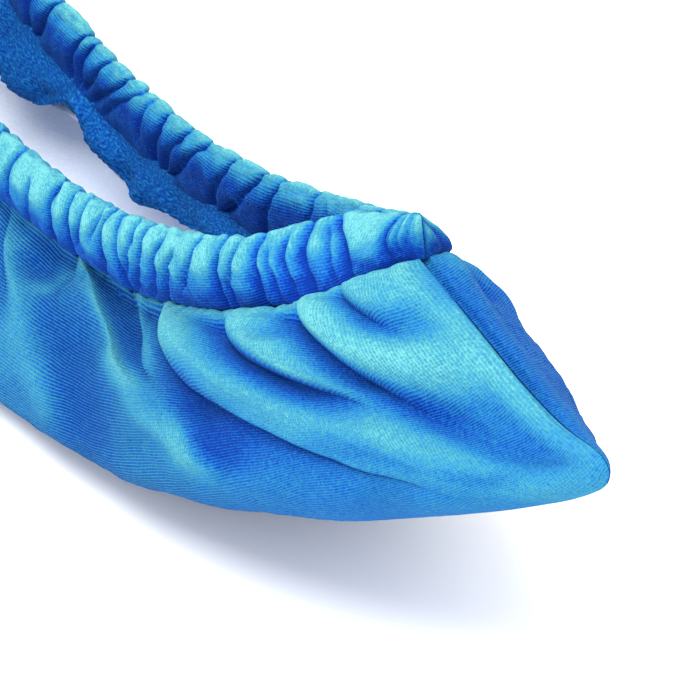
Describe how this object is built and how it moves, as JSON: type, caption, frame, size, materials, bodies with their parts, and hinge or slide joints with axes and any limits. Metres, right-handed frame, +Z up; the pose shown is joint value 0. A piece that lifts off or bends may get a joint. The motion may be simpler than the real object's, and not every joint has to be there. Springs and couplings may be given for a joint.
{
  "type": "skate blade soaker",
  "caption": "Gathered stretch-velour cover for an ice skate blade, curved like a boat, with an elastic mouth and an absorbent terry lining.",
  "frame": {"origin": "centre of the patch of the keel that rests on the ground, on the ground plane", "axes": "+X towards the toe, +Y towards the left side, +Z up through the mouth"},
  "size_m": [0.3172, 0.057, 0.0658],
  "materials": {
    "velour": "stretch velour, short pile with fine lengthwise ribs and a soft sheen",
    "overlock": "wrong side of the velour with overlock stitching",
    "terry": "short-looped white terry"
  },
  "bodies": {
    "root": {"right_shell_panel": "velour", "left_shell_panel": "velour", "right_elastic_casing": "velour", "left_elastic_casing": "velour", "right_turned_hem": "overlock", "left_turned_hem": "overlock", "right_terry_lining": "terry", "left_terry_lining": "terry"}
  },
  "joints": []
}
